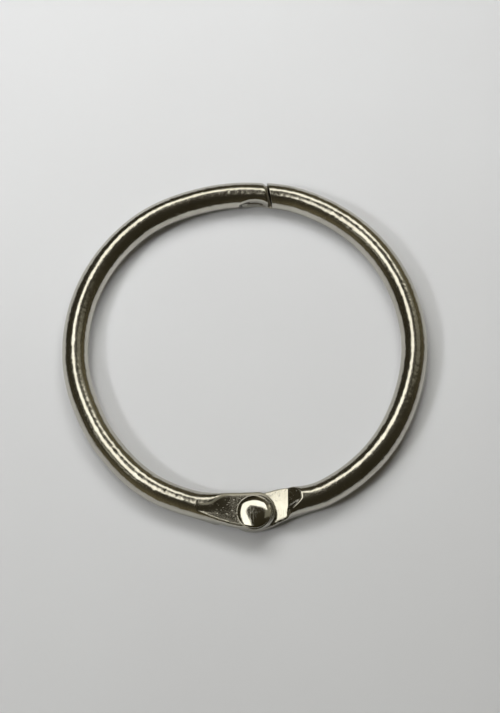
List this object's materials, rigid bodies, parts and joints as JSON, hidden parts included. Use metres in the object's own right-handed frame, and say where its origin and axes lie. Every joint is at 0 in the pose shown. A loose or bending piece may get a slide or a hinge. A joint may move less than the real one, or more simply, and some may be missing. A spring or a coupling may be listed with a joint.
{
  "type": "binder ring",
  "caption": "Snap-closing binder ring of round nickel-plated wire: half rings hinged on a domed rivet through flattened eyes, with lapped hook ends, for holding punched sheets together.",
  "frame": {"origin": "middle of the closed ring, on the mid-plane of the wire", "axes": "+Z along the ring's axis, out of the side with the rivet's domed head; +Y from the hinge to the clasp; +X towards the half that carries the rivet"},
  "size_m": [0.0444, 0.0454, 0.0035],
  "materials": {
    "nickel_wire": "bright nickel plate on drawn steel wire",
    "nickel_rivet": "bright nickel plate on a clinched steel rivet"
  },
  "bodies": {
    "fixed_half": {"right_half_ring": "nickel_wire", "hinge_rivet": "nickel_rivet"},
    "swinging_half": {"left_half_ring": "nickel_wire"}
  },
  "joints": [
    {"name": "ring_hinge", "type": "hinge", "parent": "fixed_half", "child": "swinging_half", "pos_m": [0, -0.0211, 0], "axis": [0, 0, 1], "range_deg": [0, 120]}
  ]
}
